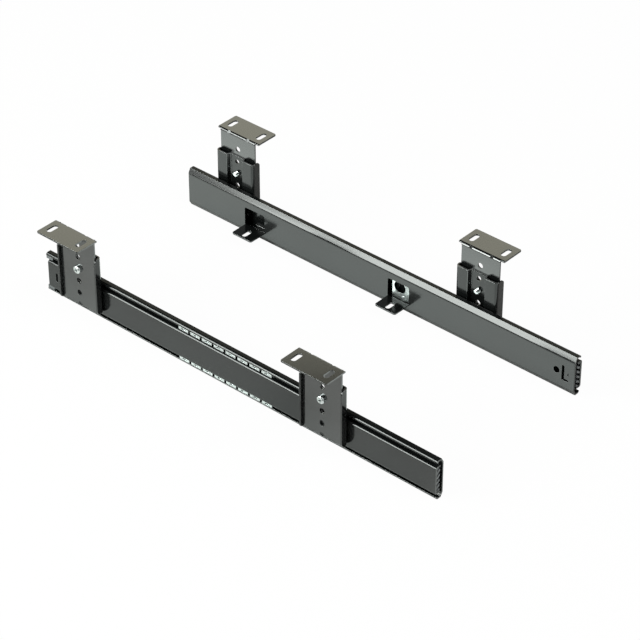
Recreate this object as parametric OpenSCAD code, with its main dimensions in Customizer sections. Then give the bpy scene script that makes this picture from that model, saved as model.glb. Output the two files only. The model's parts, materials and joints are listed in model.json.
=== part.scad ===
// A pair of drop-down slides for a keyboard tray, hung under a desk.
// Each side is a ball-bearing slide on two height-adjustable hangers.
// X is to the right, Y to the back, Z up. The desk's underside is at Z 0,
// and the origin is the middle of the eight hanger slots.
// Each side is drawn as the right one, with its leg's tray face at X 0.

/* [Layout] */
// Distance between the tray faces of the left and right hanger legs
set_spacing = 205; // [120:1:900]
// Distance from the middle to the centre of a hanger along the slide
hanger_offset = 142; // [80:1:170]
// How far the slide reaches behind the middle of the rear hanger
rear_overhang = 50; // [36:1:90]
// Height of the slide's centre line below the desk
slide_drop = 70; // [64:0.5:80]

/* [Hanger] */
// Thickness of the hanger's steel
hanger_wall = 1.6; // [1.4:0.1:2]
// Length of the top plate along the slide
plate_length = 50; // [48:1:70]
// Width of the top plate, out from the leg
plate_width = 25; // [20:1:40]
// Width of the leg
leg_width = 42; // [36:1:46]
// Outside radius of the bend between plate and leg
bend_radius = 2.5; // [2.2:0.1:3]
// Depth of the relief in the plate beside each end of the bend
bend_relief = 1; // [0.5:0.1:2]
// Radius of the plate's and the leg's corners
hanger_corner = 1.5; // [0.5:0.1:3]
// Width of a plate slot
slot_width = 5.2; // [4:0.1:6]
// Length of a plate slot over its round ends
slot_length = 12; // [8:0.5:16]
// Distance from the plate's middle to a slot
slot_offset = 17.5; // [12:0.5:20]
// Distance from the leg's tray face to the slot's middle
slot_reach = 13; // [10:0.5:16]
// Depth of the highest hole in the leg
first_hole = 15; // [12:0.5:18]
// Pitch of the height holes
hole_pitch = 12.7; // [12:0.1:14]
// Diameter of a height hole in the leg
hole_d = 5.5; // [5.1:0.1:6]
// Number of height holes down the leg, the last one open at the edge
hole_count = 6; // [5:1:6]
// Distance from the plate's middle to a stiffening dart
dart_offset = 11.5; // [8:0.5:15]
// Width of a stiffening dart
dart_width = 3; // [2:0.5:5]
// Height of a stiffening dart in the corner of the bend
dart_size = 4; // [3:0.5:6]

/* [Sleeve] */
// Thickness of the sleeve's steel
sleeve_wall = 1.5; // [1.2:0.1:1.8]
// Depth from the leg's tray face to the slide
sleeve_depth = 5; // [4.5:0.1:8]
// Depth of the sleeve's top edge below the desk
sleeve_top = 21.5; // [20:0.5:24]
// How far the sleeve reaches below the slide's centre line
sleeve_below = 9.5; // [9.5:0.5:14]
// Half width of the strip that lies against the leg
strip_half = 8; // [7:0.5:9]
// Width of the slanted wall between strip and crest
crest_run = 2; // [1:0.5:3]
// How far the long flange stands out past the leg
long_flange = 3; // [2:0.5:8]
// How far the short flange stands out past the leg
short_flange = 1.5; // [0.5:0.5:3]
// Gap between the leg's edge and a flange
leg_gap = 0.3; // [0.2:0.05:0.6]
// Corner radius of the long flange
flange_corner = 3; // [2:0.5:6]
// Corner radius of the short flange
short_corner = 4; // [1:0.5:6]
// Outside radius of the bends between crest and flange
sleeve_bend = 3; // [2.2:0.1:3]
// Number of tapped holes down the strip
sleeve_holes = 3; // [2:1:3]

/* [Slide] */
// Length of both slide members
slide_length = 450; // [400:1:500]
// Thickness of the slide members' steel
rail_wall = 1.5; // [1.2:0.1:1.8]
// Height of the tray rail
tray_height = 40; // [39:0.5:44]
// Thickness of the slide from the tray rail's web to the hanging rail's web
slide_depth = 10; // [9.8:0.1:12]
// How far the hanging rail's rear end stays in front of the tray rail's
hang_setback = 3.5; // [0:0.5:6]
// How far the tray rail's lip stays behind the hanging rail's web
lip_setback = 1.6; // [1.2:0.1:1.8]
// Height of the tray rail's lip
lip_height = 2.4; // [2:0.1:2.6]
// Height of the slanted shoulder between web and flange
shoulder_rise = 5; // [4.6:0.1:5.4]
// Depth of the slanted shoulder
shoulder_run = 2.8; // [2.4:0.1:3]
// Depth of the hanging rail's flanges
hang_flange = 5.8; // [5.6:0.1:6]
// Inside radius of the rails' bends
inner_bend = 0.5; // [0.2:0.1:0.8]

/* [Tray tabs] */
// Width of a tray tab along the slide
tab_width = 23.6; // [18:0.2:30]
// Kerf between a tab and the edge of its window
tab_kerf = 0.4; // [0.2:0.1:1]
// Length of a tray tab out from the web
tab_length = 18.5; // [14:0.5:19]
// Depth of the tab's top face below the slide's centre line
tab_drop = 9.8; // [9:0.1:11]
// Distance from the slide's rear end to the middle of the rear tab
rear_tab_inset = 83.5; // [40:0.5:110]
// Distance between the middles of the two tabs
tab_spacing = 172; // [100:1:220]
// Width of a tab's screw slot
tab_slot_width = 5; // [4:0.1:6]
// Length of a tab's slot over its round ends
tab_slot_length = 10.5; // [7:0.5:12]
// Distance from the web to the tab slot's middle
tab_slot_reach = 11; // [9:0.5:12]
// Diameter of the pilot hole near the front end
front_hole_d = 6.5; // [4:0.5:8]
// Distance from the front end to the pilot hole
front_hole_inset = 19; // [18:0.5:24]

/* [Bearing] */
// Diameter of a ball
ball_d = 4.76; // [4.7:0.02:4.8]
// Running clearance round a ball
ball_gap = 0.05; // [0.02:0.01:0.1]
// Depth of the grooves that the balls run in
track_depth = 0.23; // [0.1:0.01:0.4]
// Distance of the balls from the hanging rail's outer face
ball_inset = 5.15; // [5.1:0.05:5.3]
// Number of balls in a row
ball_count = 8; // [4:1:10]
// Pitch of the balls in a row
ball_pitch = 13.75; // [10:0.25:14]
// Thickness of the ball cage
cage_wall = 0.8; // [0.6:0.1:1]
// How far the cage's middle lies behind the slide's middle with the tray pushed in
cage_offset = 8.5; // [0:0.5:10]
// How far the cage goes on beyond its last balls
cage_margin = 7.75; // [5:0.25:12]
// Width of a tie that joins the cage's two strips
tie_width = 26; // [18:1:30]
// Distance from the tray rail's web face to the tie
tie_reach = 3; // [2.9:0.1:3.1]
// How far the cage's collars stay behind the hanging rail's outer face
collar_inset = 1.8; // [1.7:0.1:2]
// Length of the collar beside each ball
collar_length = 11.25; // [8:0.25:11.5]
// Clearance between a collar and either rail
collar_gap = 0.3; // [0.2:0.05:0.5]
// Length of the slot in a tie
tie_slot_length = 13; // [8:0.5:16]
// Height of the slot in a tie
tie_slot_height = 11.5; // [8:0.5:12]
// Width of the rim between a tie's slot and the edge nearer the cage's middle
tie_slot_rim = 2; // [1.5:0.5:3]

/* [Stops and fasteners] */
// Length of the front bumper
bumper_length = 12; // [8:1:16]
// How far the front bumper sits inside the rail's end
bumper_inset = 0.5; // [0.5:0.5:4]
// Clearance between the bumper and the hanging rail
bumper_gap = 0.1; // [0.05:0.05:0.3]
// Number of slanted ribs across the bumper's face
bumper_ribs = 4; // [2:1:5]
// Length of the rear stop
stop_length = 8; // [6:1:10]
// Thickness of the rear stop
stop_depth = 2.8; // [2:0.1:3]
// Height of the rear stop's pad
stop_height = 22; // [16:1:24]
// Diameter of the height screw's shank
screw_d = 4.9; // [4:0.1:4.9]
// Diameter of the height screw's pan head
head_d = 8; // [7.5:0.5:10]
// Height of the pan head
head_height = 3; // [2:0.1:4]
// How far the screw's tip stands out of the sleeve
screw_tip = 4; // [2:0.5:5]
// Hole that the height screw uses, counted from the top, the top one being 0
screw_hole = 2; // [1:1:3]
// Diameter of a rivet's shank
rivet_d = 4; // [3:0.1:4.5]
// Diameter of a rivet's head
rivet_head_d = 6.6; // [5:0.1:7]
// Height of a rivet's head and of its tail
rivet_head = 1.2; // [0.8:0.1:1.5]
// Distance between a sleeve's upper and lower rivets
rivet_spread = 12; // [9:0.5:14]
// Clearance round a fastener's shank in its hole
fastener_gap = 0.05; // [0.02:0.01:0.1]

/* [Hidden] */
// Sides and ends as signs
LEFT = -1;
RIGHT = 1;
REAR = 1;
FRONT = -1;
// Colours
black_coat = [0.16, 0.17, 0.17];
zinc = [0.80, 0.82, 0.84];
ball_steel = [0.70, 0.72, 0.75];
black_plastic = [0.08, 0.08, 0.08];
// Places along the slide
rear_end = hanger_offset + rear_overhang;
front_end = rear_end - slide_length;
slide_middle = (front_end + rear_end) / 2;
rear_tab = rear_end - rear_tab_inset;
front_tab = rear_tab - tab_spacing;
// Places across the slide, from the leg's tray face
hang_face = -sleeve_depth;
tray_face = hang_face - slide_depth;
// The ball rows, and the hanging rail's height that leaves room for them
race_r = ball_d / 2 + ball_gap;
tray_inside = tray_height / 2 - rail_wall;
ball_height = tray_inside - race_r + track_depth;
hang_height = 2 * (ball_height - race_r + track_depth);
ball_x = hang_face - ball_inset;
cage_length = (ball_count - 1) * ball_pitch + 2 * cage_margin;
cage_middle = slide_middle + cage_offset;
first_ball = cage_middle - (ball_count - 1) / 2 * ball_pitch;
strip_reach = slide_depth - collar_inset;
collar_low = hang_height / 2 + collar_gap;
collar_high = tray_height / 2 - lip_height - collar_gap;
// The rails' bends, the flat half of the tray rail's web and its lip
rail_bend = rail_wall + inner_bend;
web_half = tray_height / 2 - shoulder_rise;
lip_face = slide_depth - lip_setback;
// The rear stop's neck passes the hanging rail's flanges
neck = slide_depth - hang_flange - collar_gap;
stop_top = tray_inside - collar_gap;
// The leg ends half way down its last hole
leg_depth = first_hole + (hole_count - 1) * hole_pitch;
// The sleeve's outline
flange_inner = leg_width / 2 + leg_gap;
flange_outer = flange_inner + sleeve_wall;
crest_edge = strip_half + crest_run;
sleeve_bottom = slide_drop + sleeve_below;
// The rivets are centred on the crests and on the slide
rivet_y = (crest_edge + flange_inner) / 2;
rivet_top = slide_drop - rivet_spread / 2;
// The windows that the tabs leave
window_width = tab_width + 2 * tab_kerf;
window_corner = 2;
// How far a cut runs past a face
past = 1;
round_steps = 48;

function hole_depth(i) = first_hole + i * hole_pitch;
// Points of an arc round a centre
function arc(cx, cy, r, from, to, steps = 6) =
    [for (i = [0:steps]) let (a = from + (to - from) * i / steps) [cx + r * cos(a), cy + r * sin(a)]];

// Puts a piece of the right side where it belongs on either side
module on_side(side) {
    if (side == RIGHT)
        translate([set_spacing / 2, 0, 0]) children();
    else
        mirror([1, 0, 0]) translate([set_spacing / 2, 0, 0]) children();
}

// A flat rectangle with round corners, centred
module round_rect(length, width, r) {
    square([length - 2 * r, width], center = true);
    square([length, width - 2 * r], center = true);
    for (x = [-1, 1], y = [-1, 1])
        translate([x * (length / 2 - r), y * (width / 2 - r)]) circle(r, $fn = round_steps);
}

// A flat slot with round ends along X, centred
module slot_shape(length, width) {
    square([length - width, width], center = true);
    for (x = [-1, 1]) translate([x * (length - width) / 2, 0]) circle(d = width, $fn = round_steps);
}

// A cylinder along X that starts at the origin
module x_rod(d, length) {
    rotate([0, 90, 0]) cylinder(d = d, h = length, $fn = round_steps);
}

// A cylinder along Y that starts at the origin
module y_rod(d, length) {
    rotate([-90, 0, 0]) cylinder(d = d, h = length, $fn = round_steps);
}

// What is cut from a square edge along Y to round it, the edge being at the origin
module y_edge_cut(r, length) {
    translate([0, -length / 2, 0]) difference() {
        translate([-past, 0, -r]) cube([r + past, length, r + past]);
        translate([r, -past, -r]) y_rod(2 * r, length + 2 * past);
    }
}

// Hanger: the top plate is bent outward from the leg
module hanger(side, end) {
    color(black_coat) on_side(side) translate([0, end * hanger_offset, 0]) difference() {
        union() {
            hanger_plate();
            hanger_leg();
            bend_fill();
            for (y = [-1, 1]) translate([0, y * dart_offset, 0]) dart();
        }
        y_edge_cut(bend_radius, plate_length + 2 * past);
        for (y = [-1, 1]) translate([slot_reach, y * slot_offset, -hanger_wall - past])
            linear_extrude(hanger_wall + 2 * past) slot_shape(slot_length, slot_width);
        for (i = [0:hole_count - 1]) translate([-past, 0, -hole_depth(i)])
            x_rod(hole_d, hanger_wall + 2 * past);
        for (y = [-1, 1]) translate([0, y * dart_offset, 0]) dart_notch();
    }
}

module hanger_plate() {
    translate([0, 0, -hanger_wall]) linear_extrude(hanger_wall) difference() {
        translate([plate_width / 2, 0]) round_rect(plate_width, plate_length, hanger_corner);
        for (y = [-1, 1]) translate([0, y * (plate_length + leg_width) / 4])
            square([2 * bend_relief, (plate_length - leg_width) / 2], center = true);
    }
}

module hanger_leg() {
    translate([0, 0, -leg_depth]) rotate([90, 0, 90]) linear_extrude(hanger_wall) {
        translate([0, (leg_depth - bend_radius) / 2])
            round_rect(leg_width, leg_depth - bend_radius, hanger_corner);
        translate([-leg_width / 2, leg_depth / 2]) square([leg_width, leg_depth / 2]);
    }
}

// Fills the inside of the bend to its radius
module bend_fill() {
    inner = bend_radius - hanger_wall;
    translate([hanger_wall, -leg_width / 2, -bend_radius]) difference() {
        cube([inner, leg_width, inner]);
        translate([inner, -past, 0]) y_rod(2 * inner, leg_width + 2 * past);
    }
}

// A dart stiffens the bend: a small web inside it and a notch outside it
module dart() {
    translate([hanger_wall, dart_width / 2, -hanger_wall]) rotate([90, 0, 0])
        linear_extrude(dart_width) polygon([[0, 0], [dart_size, 0], [0, -dart_size]]);
}

module dart_notch() {
    reach = bend_radius * 0.8;
    translate([0, dart_width / 2, 0]) rotate([90, 0, 0]) linear_extrude(dart_width)
        polygon([[-past, past], [reach, past], [reach, 0], [0, -reach], [-past, -reach]]);
}

// Sleeve: a corrugated channel that slides up and down the leg and carries the slide.
// The same part serves both sides, turned round, so its long flange changes ends.
module sleeve(side, end) {
    height = sleeve_bottom - sleeve_top;
    color(black_coat) on_side(side) translate([0, end * hanger_offset, 0])
        mirror([0, side == LEFT ? 1 : 0, 0]) difference() {
            translate([0, 0, -sleeve_bottom]) linear_extrude(height) sleeve_outline();
            sleeve_corner(hanger_wall + long_flange, -flange_outer, flange_corner);
            sleeve_corner(hanger_wall + short_flange, flange_inner, short_corner);
            for (i = [1:sleeve_holes]) translate([-sleeve_wall - past, 0, -hole_depth(i)])
                x_rod(screw_d + 2 * fastener_gap, sleeve_wall + 2 * past);
            rivet_places() translate([hang_face - past, 0, 0])
                x_rod(rivet_d + 2 * fastener_gap, sleeve_wall + 2 * past);
        }
}

// The sleeve's section. The lean gives its slanted walls their full thickness.
module sleeve_outline() {
    inner = -sleeve_depth + sleeve_wall;
    rise = sleeve_depth - sleeve_wall;
    slant = sqrt(rise * rise + crest_run * crest_run);
    lean = sleeve_wall * (slant - crest_run) / (2 * rise);
    bend_x = sleeve_bend - sleeve_depth;
    bend_y = flange_outer - sleeve_bend;
    polygon(concat(
        arc(bend_x, -bend_y, sleeve_bend, 270, 180),
        [[-sleeve_depth, -crest_edge + lean], [-sleeve_wall, -strip_half + lean]],
        [[-sleeve_wall, strip_half - lean], [-sleeve_depth, crest_edge - lean]],
        arc(bend_x, bend_y, sleeve_bend, 180, 90),
        [[hanger_wall + short_flange, flange_outer], [hanger_wall + short_flange, flange_inner]],
        arc(bend_x, bend_y, sleeve_bend - sleeve_wall, 90, 180),
        [[inner, crest_edge + lean], [0, strip_half + lean]],
        [[0, -strip_half - lean], [inner, -crest_edge - lean]],
        arc(bend_x, -bend_y, sleeve_bend - sleeve_wall, 180, 270),
        [[hanger_wall + long_flange, -flange_inner], [hanger_wall + long_flange, -flange_outer]]
    ));
}

// Rounds a flange's top and bottom outer corners
module sleeve_corner(x, y, r) {
    for (z = [-sleeve_top, -sleeve_bottom]) {
        up = z == -sleeve_top ? 1 : -1;
        translate([x, y - past, z]) mirror([0, 0, up > 0 ? 0 : 1]) difference() {
            translate([-r, 0, -r]) cube([r + past, sleeve_wall + 2 * past, r + past]);
            translate([-r, -past, -r]) y_rod(2 * r, sleeve_wall + 4 * past);
        }
    }
}

// The places of a sleeve's four rivets
module rivet_places() {
    for (y = [-1, 1], z = [0, rivet_spread]) translate([0, y * rivet_y, -rivet_top - z]) children();
}

module rivets(side, end) {
    grip = sleeve_wall + rail_wall;
    color(black_coat) on_side(side) translate([0, end * hanger_offset, 0]) rivet_places() {
        translate([hang_face - rail_wall - rivet_head, 0, 0]) x_rod(rivet_d, grip + 2 * rivet_head);
        translate([hang_face + sleeve_wall, 0, 0]) x_rod(rivet_head_d, rivet_head);
        translate([hang_face - rail_wall - rivet_head, 0, 0]) x_rod(rivet_head_d, rivet_head);
    }
}

// Height screw: pan head outside the leg, tip on the tray side
module height_screw(side, end) {
    grip = hanger_wall + sleeve_wall;
    point = 0.6;
    color(zinc) on_side(side) translate([0, end * hanger_offset, -hole_depth(screw_hole)]) difference() {
        union() {
            translate([-sleeve_wall - screw_tip + point, 0, 0]) x_rod(screw_d, grip + screw_tip - point);
            translate([-sleeve_wall - screw_tip, 0, 0]) rotate([0, 90, 0])
                cylinder(d1 = screw_d - 2 * point, d2 = screw_d, h = point, $fn = round_steps);
            translate([hanger_wall, 0, 0]) pan_head();
        }
        cross_recess();
    }
}

module pan_head() {
    edge = head_height * 0.55;
    crown = head_height - edge;
    x_rod(head_d, edge);
    translate([edge, 0, 0]) rotate([0, 90, 0])
        cylinder(d1 = head_d, d2 = head_d - 2 * crown, h = crown, $fn = round_steps);
}

module cross_recess() {
    depth = head_height * 0.6;
    blade = 1;
    span = head_d * 0.5;
    translate([hanger_wall + head_height - depth, 0, 0]) {
        translate([0, -span / 2, -blade / 2]) cube([depth + past, span, blade]);
        translate([0, -blade / 2, -span / 2]) cube([depth + past, blade, span]);
    }
}

// Places a section drawn in X and Z along the slide, short of its rear end by the setback
module along_slide(setback = 0) {
    translate([0, rear_end - setback, -slide_drop]) rotate([90, 0, 0])
        linear_extrude(slide_length - setback) children();
}

// Hanging rail: the smaller channel, its web to the hangers
module hanging_rail(side) {
    half = hang_height / 2;
    vent_height = 9;
    vent_width = 2.5;
    vent_inset = 14;
    color(black_coat) on_side(side) difference() {
        along_slide(hang_setback) channel(hang_flange, half);
        ball_tracks();
        for (end = [REAR, FRONT]) translate([0, end * hanger_offset, 0]) rivet_places()
            translate([hang_face - rail_wall - past, 0, 0])
                x_rod(rivet_d + 2 * fastener_gap, rail_wall + 2 * past);
        translate([hang_face - rail_wall - past, rear_end - vent_inset, -slide_drop])
            rotate([90, 0, 90]) linear_extrude(rail_wall + 2 * past)
                rotate(90) slot_shape(vent_height, vent_width);
    }
}

// A channel's section with round bends, open to the tray side
module channel(depth, half) {
    web = hang_face;
    polygon(concat(
        arc(web - rail_bend, half - rail_bend, rail_bend, 0, 90),
        [[web - depth, half], [web - depth, half - rail_wall]],
        arc(web - rail_bend, half - rail_bend, inner_bend, 90, 0, 2),
        arc(web - rail_bend, rail_bend - half, inner_bend, 0, -90, 2),
        [[web - depth, rail_wall - half], [web - depth, -half]],
        arc(web - rail_bend, rail_bend - half, rail_bend, -90, 0)
    ));
}

// The grooves that the two rows of balls run in
module ball_tracks() {
    for (z = [-1, 1]) translate([ball_x, front_end - past, -slide_drop + z * ball_height])
        y_rod(2 * race_r, slide_length + 2 * past);
}

// Tray rail: the larger channel that wraps the hanging rail and carries the tray
module tray_rail(side) {
    color(black_coat) on_side(side) {
        difference() {
            along_slide() tray_section();
            ball_tracks();
            for (y = [rear_tab, front_tab]) tab_window(y);
            translate([tray_face - past, front_end + front_hole_inset, -slide_drop])
                x_rod(front_hole_d, rail_wall + 2 * past);
            detent_cut();
        }
        for (y = [rear_tab, front_tab]) tray_tab(y);
    }
}

// Half of the tray rail's section, from its web to its lip
function tray_half(s) = let (
    top = tray_height / 2,
    lip = tray_face + lip_face,
    run = tray_face + shoulder_run
) [
    [tray_face, s * web_half], [run, s * top],
    each [for (p = arc(lip - rail_bend, top - rail_bend, rail_bend, 90, 0)) [p[0], s * p[1]]],
    [lip, s * (top - lip_height)], [lip - rail_wall, s * (top - lip_height)],
    [lip - rail_wall, s * (top - rail_wall)], [run + rail_wall / 2, s * (top - rail_wall)],
    [tray_face + rail_wall, s * (web_half - rail_wall / 4)]
];

module tray_section() {
    upper = tray_half(1);
    lower = tray_half(-1);
    polygon(concat(upper, [for (i = [len(lower) - 1:-1:0]) lower[i]]));
}

// The window that a tab leaves in the web
module tab_window(y) {
    top = tab_length - tab_drop;
    translate([tray_face - past, y, -slide_drop + (top - tab_drop - rail_wall) / 2])
        rotate([90, 0, 90]) linear_extrude(rail_wall + 2 * past)
            round_rect(window_width, top + tab_drop + rail_wall, window_corner);
}

// A tab lanced from the web and bent out flat, with one slot across
module tray_tab(y) {
    bend = 2.2;
    root = tray_face + rail_wall;
    top = -slide_drop - tab_drop;
    difference() {
        union() {
            translate([tray_face - tab_length / 2, y, top - rail_wall]) linear_extrude(rail_wall)
                round_rect(tab_length, tab_width, window_corner);
            translate([tray_face - bend, y - tab_width / 2, top - rail_wall])
                cube([bend + rail_wall, tab_width, rail_wall]);
            translate([tray_face, y - tab_width / 2, top - bend - rail_wall])
                cube([rail_wall, tab_width, bend + rail_wall]);
        }
        translate([root, y, top]) mirror([1, 0, 0])
            y_edge_cut(rail_wall, tab_width + 2 * past);
        translate([tray_face - tab_slot_reach, y, top - rail_wall - past])
            linear_extrude(rail_wall + 2 * past) slot_shape(tab_slot_length, tab_slot_width);
    }
}

// The cut round the detent tongue at the front end
module detent_cut() {
    inset = 6;
    cut = 3;
    arm = 2;
    reach = 7.6;
    height = 15.5;
    notch = [1.4, 3];
    translate([tray_face - past, front_end + inset, -slide_drop]) rotate([90, 0, 90])
        linear_extrude(rail_wall + 2 * past) {
            translate([reach - cut / 2, 0]) rotate(90) slot_shape(height, cut);
            translate([reach / 2, (arm - height) / 2]) slot_shape(reach, arm);
            translate([notch[0] / 2, 0]) square(notch, center = true);
        }
}

// Ball cage: two ball strips joined by a tie near each end, with a collar beside each ball
module ball_cage(side) {
    between = ball_pitch - collar_length;
    notch = 3;
    eye_length = 5;
    eye_height = 1.2;
    color(zinc) on_side(side) difference() {
        union() {
            for (z = [-1, 1]) cage_box(cage_middle, cage_length, z * ball_height, cage_wall, strip_reach);
            for (end = [-1, 1]) tie(end);
            ball_rows() cage_collar();
        }
        ball_places() cylinder(r = race_r, h = 2 * race_r, center = true, $fn = round_steps);
        for (z = [-1, 1], i = [0:ball_count]) translate([
            tray_face + strip_reach - notch, first_ball + (i - 0.5) * ball_pitch - between / 2,
            z * ball_height - slide_drop - cage_wall
        ]) cube([notch + past, between, 2 * cage_wall]);
        ball_rows() translate([-past, 0, (collar_low + collar_high) / 2]) rotate([90, 0, 90])
            linear_extrude(cage_wall + 2 * past) slot_shape(eye_length, eye_height);
    }
}

// Puts a piece beside each ball of both rows, at the collar's inner face
module ball_rows() {
    for (z = [0, 1], i = [0:ball_count - 1])
        translate([tray_face + strip_reach - cage_wall, first_ball + i * ball_pitch, -slide_drop])
            mirror([0, 0, z]) children();
}

// A collar: the strip's outer edge beside a ball, bent up and down
module cage_collar() {
    translate([0, -collar_length / 2, collar_low]) cube([cage_wall, collar_length, collar_high - collar_low]);
}

// The places of the balls' middles
module ball_places() {
    for (z = [-1, 1], i = [0:ball_count - 1])
        translate([ball_x, first_ball + i * ball_pitch, z * ball_height - slide_drop]) children();
}

// A flat stretch of the cage from the tie's face to the given reach
module cage_box(y, length, z, height, reach) {
    translate([tray_face + tie_reach, y - length / 2, -slide_drop + z - height / 2])
        cube([reach - tie_reach, length, height]);
}

// A tie between the strips, with an obround slot and a round dimple below it
module tie(end) {
    height = 2 * ball_height + cage_wall;
    slot_lift = 2;
    dimple_r = 3;
    dimple_drop = 9;
    dimple_rise = 0.5;
    y = cage_middle + end * (cage_length - tie_width) / 2;
    slot_y = y - end * (tie_width / 2 - tie_slot_rim - tie_slot_length / 2);
    difference() {
        cage_box(y, tie_width, 0, height, tie_reach + cage_wall);
        translate([tray_face + tie_reach - past, slot_y, -slide_drop + slot_lift]) rotate([90, 0, 90])
            linear_extrude(cage_wall + 2 * past) slot_shape(tie_slot_length, tie_slot_height);
    }
    translate([tray_face + tie_reach - dimple_rise, y, -slide_drop - dimple_drop])
        x_rod(2 * dimple_r, dimple_rise + cage_wall / 2);
}

module balls(side) {
    color(ball_steel) on_side(side) ball_places() sphere(d = ball_d, $fn = round_steps);
}

// Front bumper: a ribbed plastic block in the hanging rail's front end
module front_bumper(side) {
    inside = hang_height / 2 - rail_wall - bumper_gap;
    depth = hang_flange - rail_wall - bumper_gap;
    rib = 2.6;
    groove = 3;
    bevel = inner_bend;
    face = front_end + bumper_inset;
    step = 2 * inside / (bumper_ribs + 1);
    color(black_plastic) on_side(side)
        translate([hang_face - rail_wall - bumper_gap - depth, face, -slide_drop]) difference() {
            translate([0, bumper_length, 0]) rotate([90, 0, 0]) linear_extrude(bumper_length) polygon([
                [0, -inside], [depth - bevel, -inside], [depth, bevel - inside],
                [depth, inside - bevel], [depth - bevel, inside], [0, inside]
            ]);
            for (i = [0:bumper_ribs]) translate([depth / 2, groove / 2, -inside + (i + 0.5) * step])
                rotate([0, 30, 0]) cube([2 * depth, groove + past, step - rib], center = true);
        }
}

// Rear stop: a plastic pad on the tray rail's web that meets the ball cage, with a lug
// above and below it that closes the ball track
module rear_stop(side) {
    pad_face = rail_wall + stop_depth;
    lug_face = lip_face - rail_wall - collar_gap;
    half = stop_height / 2;
    upper = [
        [pad_face, half], [neck, half], [neck, collar_low], [strip_reach, collar_low],
        [strip_reach, collar_high], [lug_face, collar_high], [lug_face, stop_top],
        [shoulder_run + rail_wall / 2, stop_top], [rail_wall, collar_low]
    ];
    lower = [for (i = [len(upper) - 1:-1:0]) [upper[i][0], -upper[i][1]]];
    color(black_plastic) on_side(side) translate([tray_face, rear_end, -slide_drop]) rotate([90, 0, 0])
        linear_extrude(stop_length) polygon(concat(upper, lower));
}

hanger(LEFT, REAR);  // left_rear_hanger
hanger(LEFT, FRONT);  // left_front_hanger
hanger(RIGHT, REAR);  // right_rear_hanger
hanger(RIGHT, FRONT);  // right_front_hanger
sleeve(LEFT, REAR);  // left_rear_sleeve
sleeve(LEFT, FRONT);  // left_front_sleeve
sleeve(RIGHT, REAR);  // right_rear_sleeve
sleeve(RIGHT, FRONT);  // right_front_sleeve
height_screw(LEFT, REAR);  // left_rear_height_screw
height_screw(LEFT, FRONT);  // left_front_height_screw
height_screw(RIGHT, REAR);  // right_rear_height_screw
height_screw(RIGHT, FRONT);  // right_front_height_screw
rivets(LEFT, REAR);  // left_rear_rivets
rivets(LEFT, FRONT);  // left_front_rivets
rivets(RIGHT, REAR);  // right_rear_rivets
rivets(RIGHT, FRONT);  // right_front_rivets
hanging_rail(LEFT);  // left_hanging_rail
hanging_rail(RIGHT);  // right_hanging_rail
tray_rail(LEFT);  // left_tray_rail
tray_rail(RIGHT);  // right_tray_rail
ball_cage(LEFT);  // left_ball_cage
ball_cage(RIGHT);  // right_ball_cage
balls(LEFT);  // left_balls
balls(RIGHT);  // right_balls
front_bumper(LEFT);  // left_front_bumper
front_bumper(RIGHT);  // right_front_bumper
rear_stop(LEFT);  // left_rear_stop
rear_stop(RIGHT);  // right_rear_stop
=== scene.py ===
import bpy
import json
import math
from mathutils import Matrix, Vector


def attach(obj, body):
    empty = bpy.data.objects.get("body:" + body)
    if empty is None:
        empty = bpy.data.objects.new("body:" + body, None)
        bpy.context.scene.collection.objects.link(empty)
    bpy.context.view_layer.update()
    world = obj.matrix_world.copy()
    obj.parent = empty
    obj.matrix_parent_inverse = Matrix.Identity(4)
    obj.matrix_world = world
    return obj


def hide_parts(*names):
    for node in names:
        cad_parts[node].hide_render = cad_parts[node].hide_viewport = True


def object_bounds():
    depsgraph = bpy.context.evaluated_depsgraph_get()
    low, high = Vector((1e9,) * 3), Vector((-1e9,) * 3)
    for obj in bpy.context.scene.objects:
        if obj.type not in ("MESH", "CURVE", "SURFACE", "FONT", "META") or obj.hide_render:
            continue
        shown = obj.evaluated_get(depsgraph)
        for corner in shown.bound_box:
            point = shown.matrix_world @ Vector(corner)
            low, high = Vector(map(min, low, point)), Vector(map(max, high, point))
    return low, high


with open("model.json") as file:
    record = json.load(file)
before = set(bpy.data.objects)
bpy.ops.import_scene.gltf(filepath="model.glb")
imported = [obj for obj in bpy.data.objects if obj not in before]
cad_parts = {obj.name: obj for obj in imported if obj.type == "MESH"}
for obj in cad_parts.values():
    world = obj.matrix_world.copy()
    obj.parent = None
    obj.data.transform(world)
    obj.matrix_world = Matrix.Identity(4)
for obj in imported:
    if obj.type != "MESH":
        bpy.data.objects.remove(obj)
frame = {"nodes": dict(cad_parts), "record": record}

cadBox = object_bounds()
nodes = frame["nodes"]
record = frame["record"]
slotOf = {part["node"]: part["material_slot"] for part in record["subparts"]}
bodyOf = {node: body for body, members in record["behaviour"]["bodies"].items() for node in members}
mm = 0.001
print("frame loaded:", len(nodes), "nodes")


# small helpers

def linearColour(hexCode):  # sRGB hex to linear
    values = [int(hexCode[i:i + 2], 16) / 255 for i in (1, 3, 5)]
    return [v / 12.92 if v <= 0.04045 else ((v + 0.055) / 1.055) ** 2.4 for v in values] + [1.0]


def perMm(size):  # texture scale for a feature of this many millimetres
    return 1 / (size * mm)


def addNode(tree, kind, settings=None, inputs=None, links=None):  # links: input to (node, output)
    node = tree.nodes.new(kind)
    for name, value in (settings or {}).items():
        setattr(node, name, value)
    for name, value in (inputs or {}).items():
        node.inputs[name].default_value = value
    for name, (source, output) in (links or {}).items():
        tree.links.new(source.outputs[output], node.inputs[name])
    return node


def addRamp(tree, source, stops):  # a stop is a place with a linear colour or a grey
    node = addNode(tree, "ShaderNodeValToRGB", links={"Fac": source})
    elements = node.color_ramp.elements
    for i, (place, value) in enumerate(stops):
        element = elements[i] if i < 2 else elements.new(place)
        element.position = place
        element.color = value if isinstance(value, list) else (value, value, value, 1)
    return node


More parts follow.
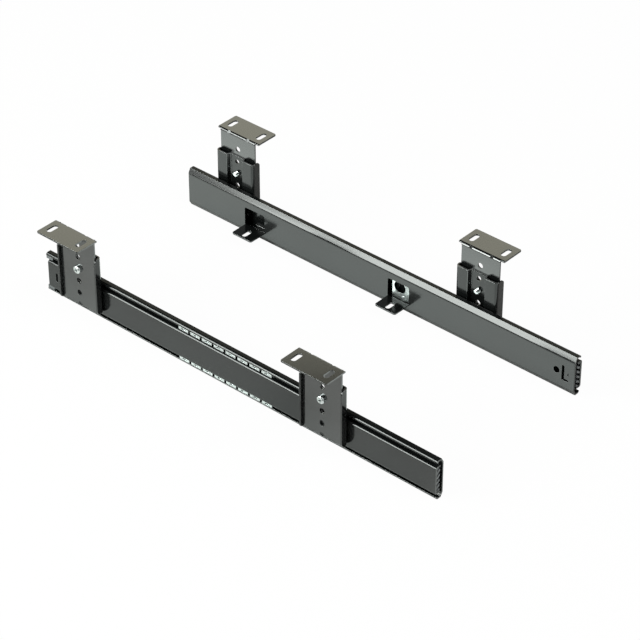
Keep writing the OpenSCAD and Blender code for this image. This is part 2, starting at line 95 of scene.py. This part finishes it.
def addNoise(tree, source, sizeMm, detail):
    return addNode(tree, "ShaderNodeTexNoise", {}, {"Scale": perMm(sizeMm), "Detail": detail},
                   {"Vector": source})


def addRange(tree, source, before, after, **settings):  # maps one span of values to another
    inputs = {"From Min": before[0], "From Max": before[1], "To Min": after[0], "To Max": after[1]}
    return addNode(tree, "ShaderNodeMapRange", settings, inputs, {"Value": source})


def addMath(tree, operation, first, second=None):
    links = {0: first, 1: second} if second else {0: first}
    return addNode(tree, "ShaderNodeMath", {"operation": operation}, {}, links)


def addBump(tree, source, strength, depthMm, under=None):
    links = {"Height": source, "Normal": under} if under else {"Height": source}
    return addNode(tree, "ShaderNodeBump", {}, {"Strength": strength, "Distance": depthMm * mm}, links)


def mixShaders(tree, share, first, second):
    return addNode(tree, "ShaderNodeMixShader", links={"Fac": share, 1: first, 2: second})


def emptyMaterial(name):
    material = bpy.data.materials.new(name)
    material.use_nodes = True
    tree = material.node_tree
    tree.nodes.clear()
    output = addNode(tree, "ShaderNodeOutputMaterial")
    return material, tree, output


def addSurface(tree, output, inputs, colour, gloss, bump):
    links = {"Base Color": colour, "Roughness": (gloss, "Result"), "Normal": (bump, "Normal")}
    shader = addNode(tree, "ShaderNodeBsdfPrincipled", {}, inputs, links)
    tree.links.new(shader.outputs[0], output.inputs["Surface"])
    return shader


def selectOnly(piece):
    bpy.ops.object.select_all(action="DESELECT")
    piece.select_set(True)
    bpy.context.view_layer.objects.active = piece


def startEdit(piece, action="SELECT"):
    selectOnly(piece)
    bpy.ops.object.mode_set(mode="EDIT")
    bpy.ops.mesh.select_all(action=action)


def endEdit():
    bpy.ops.object.mode_set(mode="OBJECT")


def bevelEdges(piece, chosen, width, segments):  # rounds the edges whose ends both pass the test
    startEdit(piece, "DESELECT")
    endEdit()
    for edge in piece.data.edges:
        edge.select = all(chosen(piece.data.vertices[v].co) for v in edge.vertices)
    bpy.ops.object.mode_set(mode="EDIT")
    bpy.ops.mesh.bevel(offset=width, segments=segments, affect="EDGES")
    bpy.ops.mesh.select_all(action="DESELECT")
    endEdit()


def ownCopy(source, name):  # a copy with its own mesh, free of the frame's body
    piece = bpy.data.objects.new(name, source.data.copy())
    bpy.context.scene.collection.objects.link(piece)
    piece.data.name = name
    return piece


def applyModifier(piece, kind, **settings):
    modifier = piece.modifiers.new(kind.lower(), kind)
    for name, value in settings.items():
        setattr(modifier, name, value)
    selectOnly(piece)
    bpy.ops.object.modifier_apply(modifier=modifier.name)


def takePlace(piece, node):  # the piece stands for a node and takes its body
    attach(piece, bodyOf[node])
    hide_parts(node)


# camera, at the photographed angle

view = {"azimuth": -48.70, "elevation": 35.77, "distance": 2.370, "right": 0.0363, "up": -0.0686,
        "lens": 154.5, "sensor": 36.0, "near": 0.05, "far": 60}
azimuth, elevation = math.radians(view["azimuth"]), math.radians(view["elevation"])
backward = Vector((math.sin(azimuth) * math.cos(elevation), -math.cos(azimuth) * math.cos(elevation),
                   math.sin(elevation)))
rightward = Vector((math.cos(azimuth), math.sin(azimuth), 0))
upward = backward.cross(rightward)
cameraData = bpy.data.cameras.new("photoCamera")
cameraData.lens = view["lens"]
cameraData.sensor_width = view["sensor"]
cameraData.clip_start, cameraData.clip_end = view["near"], view["far"]
camera = bpy.data.objects.new("photoCamera", cameraData)
bpy.context.scene.collection.objects.link(camera)
camera.matrix_world = Matrix.Translation(
    rightward * view["right"] + upward * view["up"] + backward * view["distance"]
) @ Matrix((rightward, upward, backward)).transposed().to_4x4()
bpy.context.scene.camera = camera
print("camera placed")


# materials

coat = {"base": "#0f1010", "cloud": "#151717", "edge": "#262928", "speck": "#4b4f4d",
        "cloudMm": 45.0, "cloudSpan": (0.35, 0.7), "speckMm": 1.4, "speckSpan": (0.74, 0.8),
        "speckShare": 0.5, "peelMm": 1.6, "peelBump": 0.06, "streakMm": 1.1, "streakRunMm": 160.0,
        "streakBump": 0.07, "bumpMm": 0.02, "glossSpan": (0.3, 0.7), "roughness": (0.11, 0.19),
        # levelSpan and the pair after it cut the reflection of the rails' level faces: painted shade
        "levelSpan": (0.93, 0.99), "film": (0.5, 0.07)}


def coatedSteel(name, ior, streaks=False, edge=False):
    # cathodic electrocoat on sheet steel, dipped and baked: deep black, even and glossy, with a fine peel
    material, tree, output = emptyMaterial(name)
    place = addNode(tree, "ShaderNodeTexCoord")
    cloud = addNoise(tree, (place, "Object"), coat["cloudMm"], detail=3.0)
    ground = linearColour(coat["edge"] if edge else coat["base"])
    clouded = linearColour(coat["cloud"])
    colour = addRamp(tree, (cloud, "Fac"), zip(coat["cloudSpan"], (ground, clouded)))
    specks = addNoise(tree, (place, "Object"), coat["speckMm"], detail=2.0)
    fewSpecks = addRamp(tree, (specks, "Fac"), zip(coat["speckSpan"], (0.0, coat["speckShare"])))
    mixed = addNode(tree, "ShaderNodeMix", {"data_type": "RGBA"}, {7: linearColour(coat["speck"])},
                    {0: (fewSpecks, "Color"), 6: (colour, "Color")})
    run = addNode(tree, "ShaderNodeMapping", {}, {"Scale": (1, coat["streakMm"] / coat["streakRunMm"], 1)},
                  {"Vector": (place, "Object")})
    streak = addNoise(tree, (run, "Vector"), coat["streakMm"], detail=2.0)
    gloss = addRange(tree, (streak if streaks else cloud, "Fac"), coat["glossSpan"], coat["roughness"])
    peel = addNoise(tree, (place, "Object"), coat["peelMm"], detail=1.0)
    bump = addBump(tree, (peel, "Fac"), coat["peelBump"], coat["bumpMm"])
    if streaks:  # rolling marks run along the rails
        bump = addBump(tree, (streak, "Fac"), coat["streakBump"], coat["bumpMm"], (bump, "Normal"))
    shader = addSurface(tree, output, {"IOR": ior}, (mixed, 2), gloss, bump)
    if streaks:  # painted shade: the rails' level faces reflect far less, so the flanges' tops read dark
        facing = addNode(tree, "ShaderNodeSeparateXYZ", links={"Vector": (place, "Normal")})
        level = addMath(tree, "ABSOLUTE", (facing, "Z"))
        film = addRange(tree, (level, 0), coat["levelSpan"], coat["film"])
        tree.links.new(film.outputs[0], shader.inputs["Specular IOR Level"])
    return material


zinc = {"haze": "#e6ebea", "hazeMm": 5, "hazeSpan": (0.3, 0.7), "runShare": 0.04, "smoother": 0.05,
        "rougher": 0.08, "grainBump": 0.15, "bumpMm": 0.01}


def zincPlated(name, tint, roughness, grainMm):
    # bright zinc on steel with a clear passivate: cool silver, faint drawing lines and cloudy patches
    material, tree, output = emptyMaterial(name)
    place = addNode(tree, "ShaderNodeTexCoord")
    run = addNode(tree, "ShaderNodeMapping", {}, {"Scale": (1, zinc["runShare"], 1)},
                  {"Vector": (place, "Object")})
    grain = addNoise(tree, (run, "Vector"), grainMm, detail=3.0)
    haze = addNoise(tree, (place, "Object"), zinc["hazeMm"], detail=2.0)
    tints = (linearColour(tint), linearColour(zinc["haze"]))
    colour = addRamp(tree, (haze, "Fac"), zip(zinc["hazeSpan"], tints))
    gloss = addRange(tree, (grain, "Fac"), zinc["hazeSpan"],
                     (roughness - zinc["smoother"], roughness + zinc["rougher"]))
    bump = addBump(tree, (grain, "Fac"), zinc["grainBump"], zinc["bumpMm"])
    addSurface(tree, output, {"Metallic": 1.0}, (colour, "Color"), gloss, bump)
    return material


acetal = {"dark": "#535657", "light": "#626566", "grainMm": 0.5, "cloudMm": 8, "cloudSpan": (0.3, 0.7),
          "roughness": (0.38, 0.52), "grainBump": 0.25, "bumpMm": 0.03, "ior": 1.48}


def mouldedPlastic(name):
    # injection-moulded black acetal: a soft low sheen over a fine spark-eroded grain
    material, tree, output = emptyMaterial(name)
    place = addNode(tree, "ShaderNodeTexCoord")
    grain = addNoise(tree, (place, "Object"), acetal["grainMm"], detail=3.0)
    cloud = addNoise(tree, (place, "Object"), acetal["cloudMm"], detail=2.0)
    tints = (linearColour(acetal["dark"]), linearColour(acetal["light"]))
    colour = addRamp(tree, (cloud, "Fac"), zip(acetal["cloudSpan"], tints))
    gloss = addRange(tree, (grain, "Fac"), (0, 1), acetal["roughness"])
    bump = addBump(tree, (grain, "Fac"), acetal["grainBump"], acetal["bumpMm"])
    addSurface(tree, output, {"IOR": acetal["ior"]}, (colour, "Color"), gloss, bump)
    return material


pressedCoat = coatedSteel("electrocoatedPressedSteel", ior=1.9)
rolledCoat = coatedSteel("electrocoatedRolledSteel", ior=1.55, streaks=True)
# the sleeves' copy of the coat reflects less: painted shade that darkens them
sleeveShadedCoat = coatedSteel("electrocoatedSleeveSteel", ior=1.45)
# the edges' copy of the coat: a lighter thin coat at the edges, plus a painted highlight from a stronger
# reflection than the rest of the coat
edgeCoatAndHighlight = coatedSteel("electrocoatThinAtEdges", ior=2.2, edge=True)
screwZinc = zincPlated("brightZincScrew", "#c9cfd0", roughness=0.22, grainMm=0.4)
cageZinc = zincPlated("brightZincStrip", "#dbe3e1", roughness=0.3, grainMm=0.6)
ballSteel = zincPlated("polishedBearingSteel", "#c4c8ca", roughness=0.1, grainMm=0.8)
blackPlastic = mouldedPlastic("mouldedBlackAcetal")
finishOf = {"hanger_coat": pressedCoat, "sleeve_coat": sleeveShadedCoat, "rail_coat": rolledCoat,
            "tray_rail_coat": rolledCoat, "rivet_black": pressedCoat, "screw_zinc": screwZinc,
            "cage_zinc": cageZinc, "ball_steel": ballSteel, "black_plastic": blackPlastic}
for node, piece in nodes.items():
    piece.data.materials.clear()
    piece.data.materials.append(finishOf[slotOf[node]])
print("materials made")


# sheet metal and plastic, with the edges broken as a press or a mould leaves them

edgeMm = {"hanger": 0.12, "sleeve": 0.2, "hanging_rail": 0.16, "tray_rail": 0.16, "ball_cage": 0.06,
          "front_bumper": 0.12, "rear_stop": 0.3, "rivets": 0.45}
shoulder = {"face": 87.5, "half": 15.0, "drop": 70.0, "round": 1.2}  # at the edges of the tray rail's web
dressing = {"joinMm": 0.05, "flat": math.radians(0.6), "smooth": math.radians(25),
            "bevel": math.radians(40), "steps": 4, "nearMm": 0.02, "weight": 50}


def onShoulder(spot):
    near = dressing["nearMm"] * mm
    return (abs(abs(spot.x) - shoulder["face"] * mm) < near and
            abs(abs(spot.z + shoulder["drop"] * mm) - shoulder["half"] * mm) < near)


def dressed(node, kind):
    side, *words = node.split("_")
    piece = ownCopy(nodes[node], side + "".join(word.title() for word in words) + "Dressed")
    startEdit(piece)
    bpy.ops.mesh.remove_doubles(threshold=dressing["joinMm"] * mm)  # the bevel folds shorter edges over
    bpy.ops.mesh.dissolve_limited(angle_limit=dressing["flat"])
    endEdit()
    if kind == "tray_rail":
        bevelEdges(piece, onShoulder, shoulder["round"] * mm, dressing["steps"])
    thinEdgesAndHighlight = slotOf[node].endswith("coat")
    if thinEdgesAndHighlight:
        # the bevels take the edge copy of the coat: lighter thin coat and a painted highlight
        piece.data.materials.append(edgeCoatAndHighlight)
    miter = "MITER_SHARP" if kind == "hanger" else "MITER_ARC"
    applyModifier(piece, "BEVEL", width=edgeMm[kind] * mm, segments=dressing["steps"],
                  limit_method="ANGLE", angle_limit=dressing["bevel"], use_clamp_overlap=False,
                  miter_outer=miter, material=1 if thinEdgesAndHighlight else -1)
    selectOnly(piece)
    bpy.ops.object.shade_smooth_by_angle(angle=dressing["smooth"])
    applyModifier(piece, "WEIGHTED_NORMAL", mode="FACE_AREA", weight=dressing["weight"], keep_sharp=True)
    takePlace(piece, node)


for node in nodes:
    for kind in edgeMm:
        if node.endswith(kind):
            dressed(node, kind)
print("edges dressed")


# height screws: domed pan head with a cross recess, rolled thread up to the pointed tip

screw = {"hang": 102.5, "leg": 1.6, "headR": 4.0, "headH": 3.0, "dome": 1.5, "coreR": 2.0, "crestR": 2.44,
         "tip": 5.5, "point": 0.9, "pitch": 0.8, "cross": 4.2, "blade": 1.0, "recess": 1.9, "start": 0.3,
         "overlap": 0.5, "ridge": 0.44, "tiny": 0.001}
screwSteps = {"head": 64, "core": 48, "dome": 7, "point": 2, "thread": 28}
crossTurn = 0.35
screwSmooth = math.radians(32)
mirrorOf = {"left": -1, "right": 1}


def axleAlongX(name, radiusMm, startMm, lengthMm, facets):  # a cylinder along X, placed in the mesh
    bpy.ops.mesh.primitive_cylinder_add(vertices=facets, radius=radiusMm * mm, depth=lengthMm * mm)
    piece = bpy.context.object
    piece.name = piece.data.name = name
    startEdit(piece)
    bpy.ops.transform.rotate(value=math.pi / 2, orient_axis="Y", center_override=(0, 0, 0))
    bpy.ops.transform.translate(value=((startMm + lengthMm / 2) * mm, 0, 0))
    endEdit()
    return piece


def cutBlade(head, name, turn):  # one arm of the cross recess
    bpy.ops.mesh.primitive_cube_add(size=1)
    blade = bpy.context.object
    blade.name = name
    middle = screw["leg"] + screw["headH"] - screw["recess"] / 2 + screw["overlap"]
    depth = screw["recess"] + 2 * screw["overlap"]
    startEdit(blade)
    bpy.ops.transform.resize(value=(depth * mm, screw["cross"] * mm, screw["blade"] * mm),
                             center_override=(0, 0, 0))
    bpy.ops.transform.translate(value=(middle * mm, 0, 0))
    bpy.ops.transform.rotate(value=turn, orient_axis="X", center_override=(0, 0, 0))
    endEdit()
    applyModifier(head, "BOOLEAN", operation="DIFFERENCE", object=blade, solver="EXACT")
    bpy.data.objects.remove(blade)


def threadAlongX(name):
    bpy.ops.mesh.primitive_circle_add(vertices=3, radius=screw["ridge"] * mm, fill_type="NOTHING")
    thread = bpy.context.object
    thread.name = name
    startEdit(thread)
    reach = screw["crestR"] - screw["ridge"]
    bpy.ops.transform.translate(value=((screw["start"] - screw["tip"]) * mm, reach * mm, 0))
    endEdit()
    turns = int((screw["tip"] - screw["start"]) / screw["pitch"])
    applyModifier(thread, "SCREW", axis="X", angle=2 * math.pi, screw_offset=screw["pitch"] * mm,
                  iterations=turns, steps=screwSteps["thread"], render_steps=screwSteps["thread"])
    return thread


def panScrew(name):
    head = axleAlongX(name, screw["headR"], screw["leg"], screw["headH"], screwSteps["head"])
    outer = (screw["leg"] + screw["headH"] - screw["tiny"]) * mm
    bevelEdges(head, lambda spot: spot.x > outer, screw["dome"] * mm, screwSteps["dome"])
    for turn in (crossTurn, crossTurn + math.pi / 2):
        cutBlade(head, name + "Blade", turn)
    core = axleAlongX(name + "Core", screw["coreR"], -screw["tip"],
                      screw["tip"] + screw["leg"] + screw["overlap"], screwSteps["core"])
    tipEnd = (screw["tiny"] - screw["tip"]) * mm
    bevelEdges(core, lambda spot: spot.x < tipEnd, screw["point"] * mm, screwSteps["point"])
    thread = threadAlongX(name + "Thread")
    bpy.ops.object.select_all(action="DESELECT")
    for piece in (thread, core, head):
        piece.select_set(True)
    bpy.context.view_layer.objects.active = head
    bpy.ops.object.join()
    startEdit(head)
    bpy.ops.mesh.fill_holes(sides=0)
    bpy.ops.mesh.normals_make_consistent(inside=False)
    endEdit()
    bpy.ops.object.shade_smooth_by_angle(angle=screwSmooth)
    head.data.materials.append(screwZinc)
    return head


master = panScrew("screwMaster")
for node in [name for name in nodes if name.endswith("height_screw")]:
    side, end = node.split("_")[:2]
    corners = [Vector(c) for c in nodes[node].bound_box]
    middle = sum(corners, Vector()) / len(corners)
    piece = ownCopy(master, side + end.title() + "PanScrew")
    startEdit(piece)
    bpy.ops.transform.translate(value=(screw["hang"] * mm, middle.y, middle.z))
    if mirrorOf[side] < 0:
        bpy.ops.transform.resize(value=(-1, 1, 1), center_override=(0, 0, 0))
        bpy.ops.mesh.flip_normals()
    endEdit()
    takePlace(piece, node)
bpy.data.objects.remove(master)
print("height screws made")


# floor, backdrop and soft studio light

studio = {"floorGap": 0.0004, "floorSize": 12.0, "floor": "#f4f4f2", "whiteToCamera": 0.97,
          # mirroredSpan, rise, riseTint, riseSpan and stopSpan shape the painted glow and painted black
          # that the floor shows to reflections
          "mirroredSpan": (0.16, 0.34), "rise": 1.3, "riseTint": "#f2fffa", "riseSpan": (-0.14, 0.02),
          "stopSpan": (0.082, 0.087), "skyLight": 0.55}
white, black = (1, 1, 1, 1), (0, 0, 0, 1)


def paleFloor():
    # matt white studio sweep: nearly white to the camera, and it still takes the object's shadow. To
    # reflections it shows a painted glow between the slides and painted black further out
    material, tree, output = emptyMaterial("mattWhiteSweep")
    matt = addNode(tree, "ShaderNodeBsdfDiffuse", {}, {"Color": linearColour(studio["floor"])})
    glow = addNode(tree, "ShaderNodeEmission", {}, {"Color": white, "Strength": 1.0})
    void = addNode(tree, "ShaderNodeEmission", {}, {"Color": black, "Strength": 0.0})
    path = addNode(tree, "ShaderNodeLightPath")
    place = addNode(tree, "ShaderNodeTexCoord")
    spot = addNode(tree, "ShaderNodeSeparateXYZ", links={"Vector": (place, "Object")})
    across = addMath(tree, "ABSOLUTE", (spot, "X"))
    # painted shade: to reflections the floor fades to black away from the slides
    fade = addRange(tree, (across, 0), studio["mirroredSpan"], (1, 0), interpolation_type="SMOOTHSTEP")
    # painted light: an emitted glow on the floor, rising from left to right and stopped under the right
    # rail, seen only in reflections
    lift = addRange(tree, (spot, "X"), studio["riseSpan"], (0, studio["rise"]))
    under = addRange(tree, (spot, "X"), studio["stopSpan"], (1, 0))
    rise = addMath(tree, "MULTIPLY", (lift, 0), (under, 0))
    bright = addNode(tree, "ShaderNodeEmission", {}, {"Color": linearColour(studio["riseTint"])},
                     {"Strength": (rise, 0)})
    lifted = addNode(tree, "ShaderNodeAddShader", links={0: (matt, 0), 1: (bright, 0)})
    mirrored = mixShaders(tree, (fade, 0), (void, 0), (lifted, 0))
    byRay = mixShaders(tree, (path, "Is Glossy Ray"), (matt, 0), (mirrored, 0))
    share = addNode(tree, "ShaderNodeMath", {"operation": "MULTIPLY"}, {1: studio["whiteToCamera"]},
                    {0: (path, "Is Camera Ray")})
    mixed = mixShaders(tree, (share, 0), (byRay, 0), (glow, 0))
    tree.links.new(mixed.outputs[0], output.inputs["Surface"])
    return material


bpy.ops.mesh.primitive_plane_add(size=studio["floorSize"],
                                 location=(0, 0, cadBox[0][2] - studio["floorGap"]))
floor = bpy.context.object
floor.name = "studioFloor"
floor.data.materials.append(paleFloor())

skyStops = [(0.07, "#040404"), (0.13, "#fbfdfc"), (0.3, "#d4d9d6"), (0.5, "#5c5a50"), (0.66, "#1c1b19"),
            (0.8, "#040404")]  # from the horizon up
world = bpy.data.worlds.new("studioWorld")
bpy.context.scene.world = world
world.use_nodes = True
sky = world.node_tree
sky.nodes.clear()
skyOut = addNode(sky, "ShaderNodeOutputWorld")
path = addNode(sky, "ShaderNodeLightPath")
place = addNode(sky, "ShaderNodeTexCoord")
parts = addNode(sky, "ShaderNodeSeparateXYZ", links={"Vector": (place, "Generated")})
climb = addRamp(sky, (parts, "Z"), [(height, linearColour(tint)) for height, tint in skyStops])
soft = addNode(sky, "ShaderNodeBackground", {}, {"Strength": studio["skyLight"]},
               {"Color": (climb, "Color")})
seen = addNode(sky, "ShaderNodeBackground", {}, {"Strength": 1.0}, {"Color": (climb, "Color")})
plain = addNode(sky, "ShaderNodeBackground", {}, {"Color": white, "Strength": 1.0})
mirrored = addMath(sky, "MAXIMUM", (path, "Is Glossy Ray"), (path, "Is Transmission Ray"))
lit = mixShaders(sky, (mirrored, 0), (soft, 0), (seen, 0))
whole = mixShaders(sky, (path, "Is Camera Ray"), (lit, 0), (plain, 0))
sky.links.new(whole.outputs[0], skyOut.inputs["Surface"])

lamps = {  # place, size, watts and tint of each soft box, all aimed at the middle of the part
    "sideBox": ((-1.7, 0.8, 0.35), (1.0, 0.7), 25.0, "#f9fffb"),
    "highBox": ((-1.35, 0.95, 1.0), (1.4, 0.5), 26.0, "#f8fffc"),
    "frontBox": ((0.3, -1.7, 1.8), (1.8, 1.4), 40.0, "#ffffff"),
    "rearBox": ((1.5, 1.3, 1.1), (1.6, 0.8), 5.9, "#fffde8"),
}
for name, (spot, size, watts, tint) in lamps.items():
    data = bpy.data.lights.new(name, "AREA")
    data.shape = "RECTANGLE"
    data.size, data.size_y = size
    data.energy = watts
    data.color = linearColour(tint)[:3]
    lamp = bpy.data.objects.new(name, data)
    bpy.context.scene.collection.objects.link(lamp)
    lamp.location = spot
    lamp.rotation_euler = (-Vector(spot)).to_track_quat("-Z", "Y").to_euler()
bpy.context.scene.view_settings.view_transform = "Standard"
print("studio lit")

bpy.context.view_layer.update()
